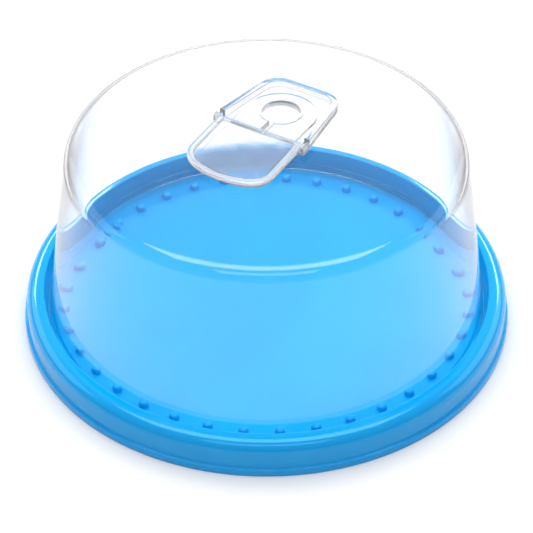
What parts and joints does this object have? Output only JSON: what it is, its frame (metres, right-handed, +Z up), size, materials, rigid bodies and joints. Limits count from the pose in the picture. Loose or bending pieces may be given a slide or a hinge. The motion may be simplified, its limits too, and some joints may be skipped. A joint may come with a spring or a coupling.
{
  "type": "cake carrier",
  "caption": "Round cake carrier: blue tray with a rounded rim, tall clear lift-off cover, and a clear D-shaped bail folding flat on its crown.",
  "frame": {"origin": "middle of the tray's lip on the table", "axes": "+Z up; the bail's hinge runs along X and the bail folds down towards -Y"},
  "size_m": [0.355, 0.355, 0.1646],
  "materials": {
    "tray_plastic": "gloss azure moulding",
    "cover_plastic": "clear gloss moulding",
    "seat_plastic": "clear, slightly milky gloss moulding",
    "bail_plastic": "clear gloss moulding"
  },
  "bodies": {
    "base": {"base_tray": "tray_plastic"},
    "lid": {"dome_cover": "cover_plastic", "handle_seat": "seat_plastic"},
    "bail": {"carry_bail": "bail_plastic"}
  },
  "joints": [
    {"name": "lid_lift", "type": "slide", "parent": "base", "child": "lid", "axis": [0, 0, 1], "range_m": [0, 0.17]},
    {"name": "bail_fold", "type": "hinge", "parent": "lid", "child": "bail", "pos_m": [0, -0.0085, 0.1617], "axis": [-1, 0, 0], "range_deg": [0, 142]}
  ]
}
